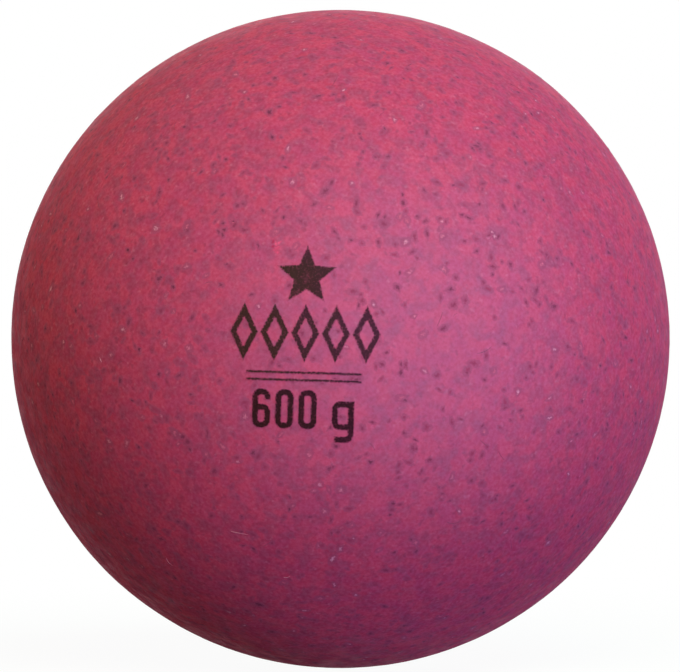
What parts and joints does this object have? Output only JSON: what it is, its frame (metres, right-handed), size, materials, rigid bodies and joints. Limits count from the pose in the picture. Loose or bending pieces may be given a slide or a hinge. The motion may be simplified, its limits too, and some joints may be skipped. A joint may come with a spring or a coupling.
{
  "type": "shot put ball",
  "caption": "Soft training shot: a hand-sized speckled rubber ball, filled with sand and closed by a flush push-in plug.",
  "frame": {"origin": "centre of the ball", "axes": "+Y along the moulding axis, out through the filler plug; the printed side faces -Y with its mark upright along +Z"},
  "size_m": [0.095, 0.095, 0.095],
  "materials": {
    "shell_rubber": "matte, speckled",
    "band_rubber": "matte",
    "bush_rubber": "satin",
    "plug_rubber": "matte, speckled",
    "foam": "matte, open cell",
    "sand": "loose grains"
  },
  "bodies": {
    "root": {"front_shell": "shell_rubber", "rear_shell": "shell_rubber", "seam_band": "band_rubber", "filler_bush": "bush_rubber", "filler_plug": "plug_rubber", "plug_wad": "foam", "ballast_fill": "sand"}
  },
  "joints": []
}
